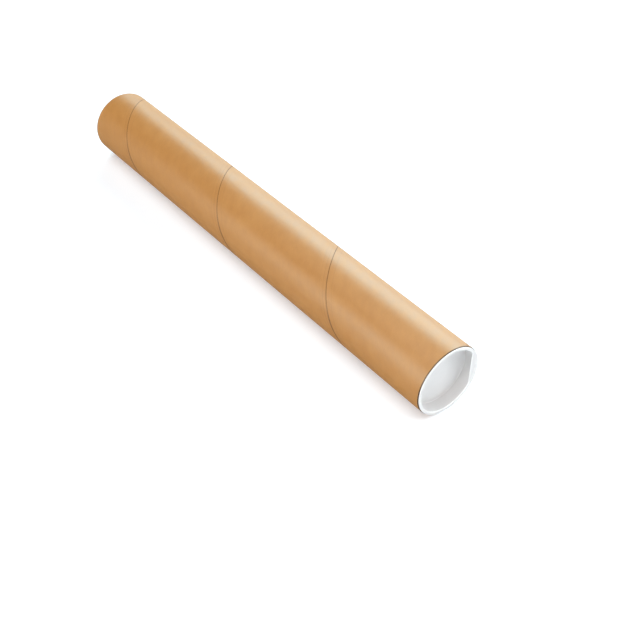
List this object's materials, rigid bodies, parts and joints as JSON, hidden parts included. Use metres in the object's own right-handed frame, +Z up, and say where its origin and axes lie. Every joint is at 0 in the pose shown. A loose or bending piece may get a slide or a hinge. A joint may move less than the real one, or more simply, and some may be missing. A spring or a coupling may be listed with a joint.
{
  "type": "drawing tube",
  "caption": "Spiral-wound kraft paper tube for rolled drawings and posters, with a removable recessed plastic plug cap and pull tab in each end.",
  "frame": {"origin": "on the surface that the tube lies on, under the middle of its length", "axes": "+X along the tube's axis to the right-hand cap, +Z up, +Y to the side that the right-hand cap's pull tab is on"},
  "size_m": [0.613, 0.0798, 0.0798],
  "materials": {
    "kraft_outside": "natural kraft paper with a slight calendered sheen",
    "chipboard": "raw brown chipboard, matte",
    "kraft_inside": "matte brown kraft liner",
    "cap_plastic": "white soft polyethylene, satin to gloss"
  },
  "bodies": {
    "tube": {"outer_wrap": "kraft_outside", "wall_ply_4": "chipboard", "wall_ply_3": "chipboard", "wall_ply_2": "chipboard", "wall_ply_1": "chipboard", "inner_liner": "kraft_inside"},
    "right_cap": {"right_end_cap": "cap_plastic"},
    "left_cap": {"left_end_cap": "cap_plastic"}
  },
  "joints": [
    {"name": "right_cap_pull", "type": "slide", "parent": "tube", "child": "right_cap", "axis": [1, 0, 0], "range_m": [0, 0.1]},
    {"name": "left_cap_pull", "type": "slide", "parent": "tube", "child": "left_cap", "axis": [-1, 0, 0], "range_m": [0, 0.1]}
  ]
}
